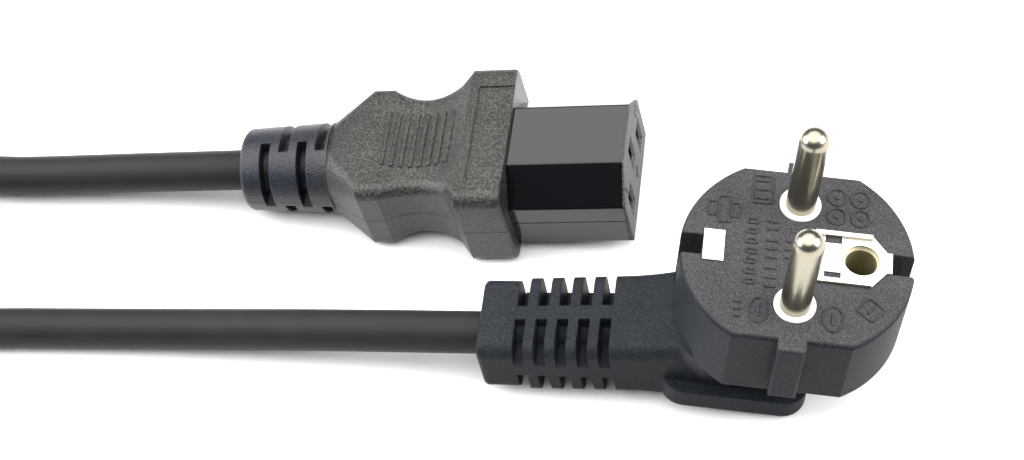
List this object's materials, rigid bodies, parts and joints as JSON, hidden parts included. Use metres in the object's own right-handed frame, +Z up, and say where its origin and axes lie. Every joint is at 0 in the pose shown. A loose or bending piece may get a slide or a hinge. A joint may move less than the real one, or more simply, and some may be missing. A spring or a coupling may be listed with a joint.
{
  "type": "power cord",
  "caption": "Black detachable mains lead with an angled earthed two-pin plug, round cord and a three-slot appliance connector, laid out flat with the spare cord coiled.",
  "frame": {"origin": "on the table under the middle of the plug and the connector together, without the cord", "axes": "+Z up from the table; +X the way the connector's nose points, opposite to the way both leads run off; +Y from the plug toward the connector"},
  "size_m": [0.2945, 0.089, 0.0517],
  "materials": {
    "soft_pvc": "matte, fine spark texture",
    "nose_plastic": "smooth gloss",
    "white_plastic": "smooth",
    "nickel_plate": "nickel plated",
    "spring_brass": "bright rolled sheet",
    "copper": "bare stranded copper",
    "brown_pvc": "smooth",
    "blue_pvc": "smooth",
    "green_yellow_pvc": "smooth, green with a yellow stripe",
    "cord_pvc": "satin, smooth"
  },
  "bodies": {
    "root": {"plug_housing": "soft_pvc", "pin_carrier": "white_plastic", "line_pin": "nickel_plate", "neutral_pin": "nickel_plate", "earth_strap": "nickel_plate", "earth_sleeve": "spring_brass", "connector_housing": "soft_pvc", "connector_insert": "nose_plastic", "line_contact": "spring_brass", "neutral_contact": "spring_brass", "earth_contact": "spring_brass", "plug_lead": "cord_pvc", "connector_lead": "cord_pvc", "cord_coil": "cord_pvc", "plug_line_wire": "brown_pvc", "plug_line_strands": "copper", "plug_neutral_wire": "blue_pvc", "plug_neutral_strands": "copper", "plug_earth_wire": "green_yellow_pvc", "plug_earth_strands": "copper", "connector_line_wire": "brown_pvc", "connector_line_strands": "copper", "connector_neutral_wire": "blue_pvc", "connector_neutral_strands": "copper", "connector_earth_wire": "green_yellow_pvc", "connector_earth_strands": "copper"}
  },
  "joints": []
}
